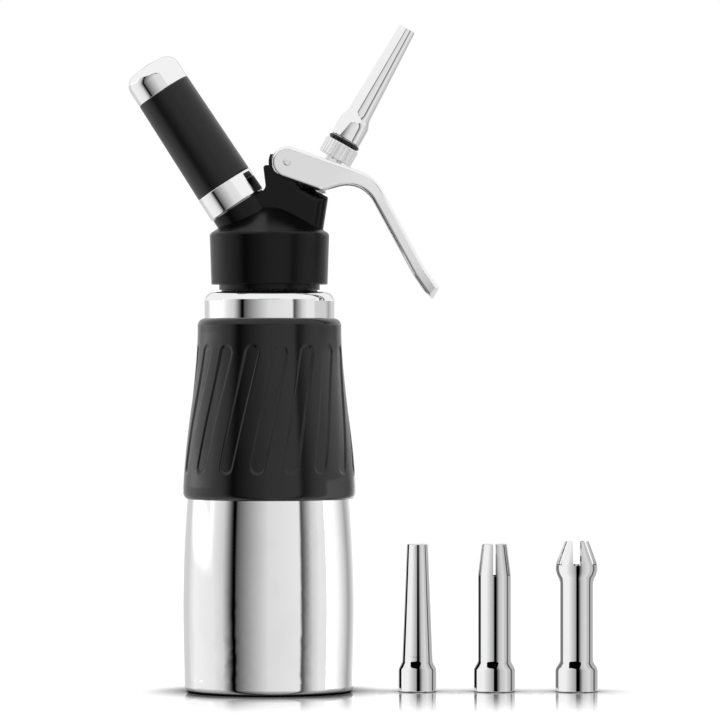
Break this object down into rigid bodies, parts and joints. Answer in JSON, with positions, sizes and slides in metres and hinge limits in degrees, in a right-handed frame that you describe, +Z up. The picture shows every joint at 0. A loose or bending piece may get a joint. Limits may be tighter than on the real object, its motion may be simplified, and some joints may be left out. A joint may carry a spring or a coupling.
{
  "type": "whipped cream dispenser",
  "caption": "Polished steel cream whipper with black grip sleeve, screw head, squeeze lever over a sprung outlet valve, gas charger holder, tapered nozzle and spare decorating tips.",
  "frame": {"origin": "centre of the bottle's base, on the surface it stands on", "axes": "+Z up along the bottle, +X towards the lever's handle, the lever's pin along Y"},
  "size_m": [0.2182, 0.08, 0.31],
  "materials": {
    "polished_steel": "mirror-polished stainless steel",
    "silicone": "matte black silicone",
    "seal_rubber": "smooth black seal rubber",
    "black_coating": "satin black coating on cast aluminium",
    "cast_aluminium": "satin polished casting",
    "pin_steel": "polished steel",
    "valve_brass": "turned brass",
    "spring_steel": "drawn spring wire",
    "stem_steel": "turned stainless steel",
    "satin_steel": "knurled, nickel plated",
    "charger_steel": "drawn steel cartridge",
    "chromed_tube": "chromed, polished",
    "black_grip": "matte black sleeve"
  },
  "bodies": {
    "bottle": {"bottle_shell": "polished_steel", "bottle_sleeve": "silicone"},
    "gasket": {"head_gasket": "seal_rubber"},
    "head": {"head_body": "black_coating", "lever_pin": "pin_steel", "valve_bushing": "valve_brass", "stem_o_ring": "seal_rubber", "valve_spring": "spring_steel", "inlet_stub": "stem_steel", "piercing_pin": "stem_steel", "inlet_seal": "seal_rubber", "check_valve": "seal_rubber"},
    "lever": {"lever": "cast_aluminium"},
    "valve": {"valve_stem": "stem_steel", "valve_seal": "seal_rubber", "valve_disc": "stem_steel", "nozzle_adaptor": "satin_steel"},
    "nozzle_ring": {"nozzle_o_ring": "seal_rubber"},
    "nozzle": {"nozzle": "polished_steel"},
    "charger": {"charger": "charger_steel"},
    "holder": {"holder_shell": "chromed_tube", "holder_grip": "black_grip"},
    "tip_straight": {"tip_straight": "polished_steel"},
    "tip_star": {"tip_star": "polished_steel"},
    "tip_tulip": {"tip_tulip": "polished_steel"}
  },
  "joints": [
    {"name": "head_rise", "type": "slide", "parent": "bottle", "child": "gasket", "axis": [0, 0, 1], "range_m": [0, 0.012]},
    {"name": "head_screw", "type": "hinge", "parent": "gasket", "child": "head", "pos_m": [0, 0, 0.2], "axis": [0, 0, 1], "range_deg": [0, 1081]},
    {"name": "lever_squeeze", "type": "hinge", "parent": "head", "child": "lever", "pos_m": [0.00833, 0, 0.2459], "axis": [0, 1, 0], "range_deg": [0, 8], "stiffness_Nm_per_rad": 1, "springref_deg": -11.46, "deforming": ["valve_spring"]},
    {"name": "valve_press", "type": "slide", "parent": "head", "child": "valve", "axis": [-0.4894, 0, -0.8721], "range_m": [0, 0.0027], "stiffness_N_per_m": 60, "springref_m": -0.008},
    {"name": "nozzle_rise", "type": "slide", "parent": "valve", "child": "nozzle_ring", "axis": [0.4894, 0, 0.8721], "range_m": [0, 0.006]},
    {"name": "nozzle_screw", "type": "hinge", "parent": "nozzle_ring", "child": "nozzle", "pos_m": [0.0219, 0, 0.2328], "axis": [0.4894, 0, 0.8721], "range_deg": [0, 1441]},
    {"name": "charger_rise", "type": "slide", "parent": "head", "child": "charger", "axis": [-0.5461, 0, 0.8377], "range_m": [0, 0.012]},
    {"name": "holder_screw", "type": "hinge", "parent": "charger", "child": "holder", "pos_m": [-0.01492, 0, 0.2263], "axis": [-0.5461, 0, 0.8377], "range_deg": [0, 2161]},
    {"name": "tip_straight_lift", "type": "slide", "parent": "bottle", "child": "tip_straight", "axis": [0, 0, 1], "range_m": [0, 0.08]},
    {"name": "tip_star_lift", "type": "slide", "parent": "bottle", "child": "tip_star", "axis": [0, 0, 1], "range_m": [0, 0.08]},
    {"name": "tip_tulip_lift", "type": "slide", "parent": "bottle", "child": "tip_tulip", "axis": [0, 0, 1], "range_m": [0, 0.08]}
  ],
  "couplings": [
    {"joint": "head_screw", "follows": "head_rise", "rad_per_m": 1570.8},
    {"joint": "valve_press", "follows": "lever_squeeze", "m_per_rad": 0.019},
    {"joint": "nozzle_screw", "follows": "nozzle_rise", "rad_per_m": 4188.8},
    {"joint": "holder_screw", "follows": "charger_rise", "rad_per_m": 3141.6}
  ]
}
